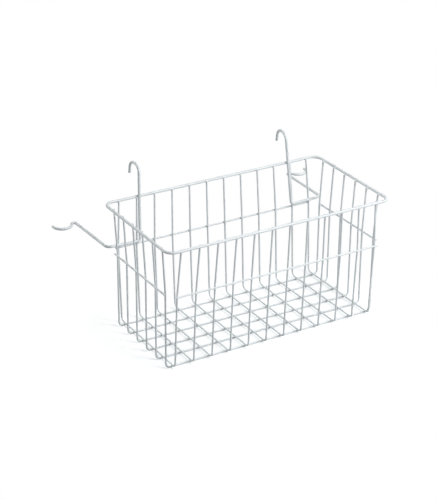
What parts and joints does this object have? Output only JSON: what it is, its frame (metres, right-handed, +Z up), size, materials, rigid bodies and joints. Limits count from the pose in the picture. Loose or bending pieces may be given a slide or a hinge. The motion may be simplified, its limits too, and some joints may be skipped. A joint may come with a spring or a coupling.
{
  "type": "hang-on wire basket",
  "caption": "Rectangular welded wire basket with two rear hooks for a cross bar and two rear arms ending in cups for upright tubes.",
  "frame": {"origin": "on the floor, in the middle of the whole basket's box, arms included", "axes": "+X along the basket's length, +Y towards its back, where the hooks and arms are, +Z up"},
  "size_m": [0.494, 0.3153, 0.2642],
  "materials": {
    "frame_coat": "smooth white baked coating on the thick rim, hook and arm wires, semi-gloss",
    "grid_coat": "smooth white baked coating on the thin grid and belt wires, semi-gloss"
  },
  "bodies": {
    "root": {"rim_wire": "frame_coat", "cross_wire_01": "grid_coat", "cross_wire_02": "grid_coat", "cross_wire_03": "grid_coat", "cross_wire_04": "grid_coat", "cross_wire_05": "grid_coat", "cross_wire_06": "grid_coat", "cross_wire_07": "grid_coat", "cross_wire_08": "grid_coat", "cross_wire_09": "grid_coat", "cross_wire_10": "grid_coat", "cross_wire_11": "grid_coat", "cross_wire_12": "grid_coat", "long_wire_1": "grid_coat", "long_wire_2": "grid_coat", "long_wire_3": "grid_coat", "long_wire_4": "grid_coat", "long_wire_5": "grid_coat", "long_wire_6": "grid_coat", "front_belt_wire": "grid_coat", "back_belt_wire": "grid_coat", "left_belt_wire": "grid_coat", "right_belt_wire": "grid_coat", "left_hook_arm": "frame_coat", "right_hook_arm": "frame_coat"}
  },
  "joints": []
}
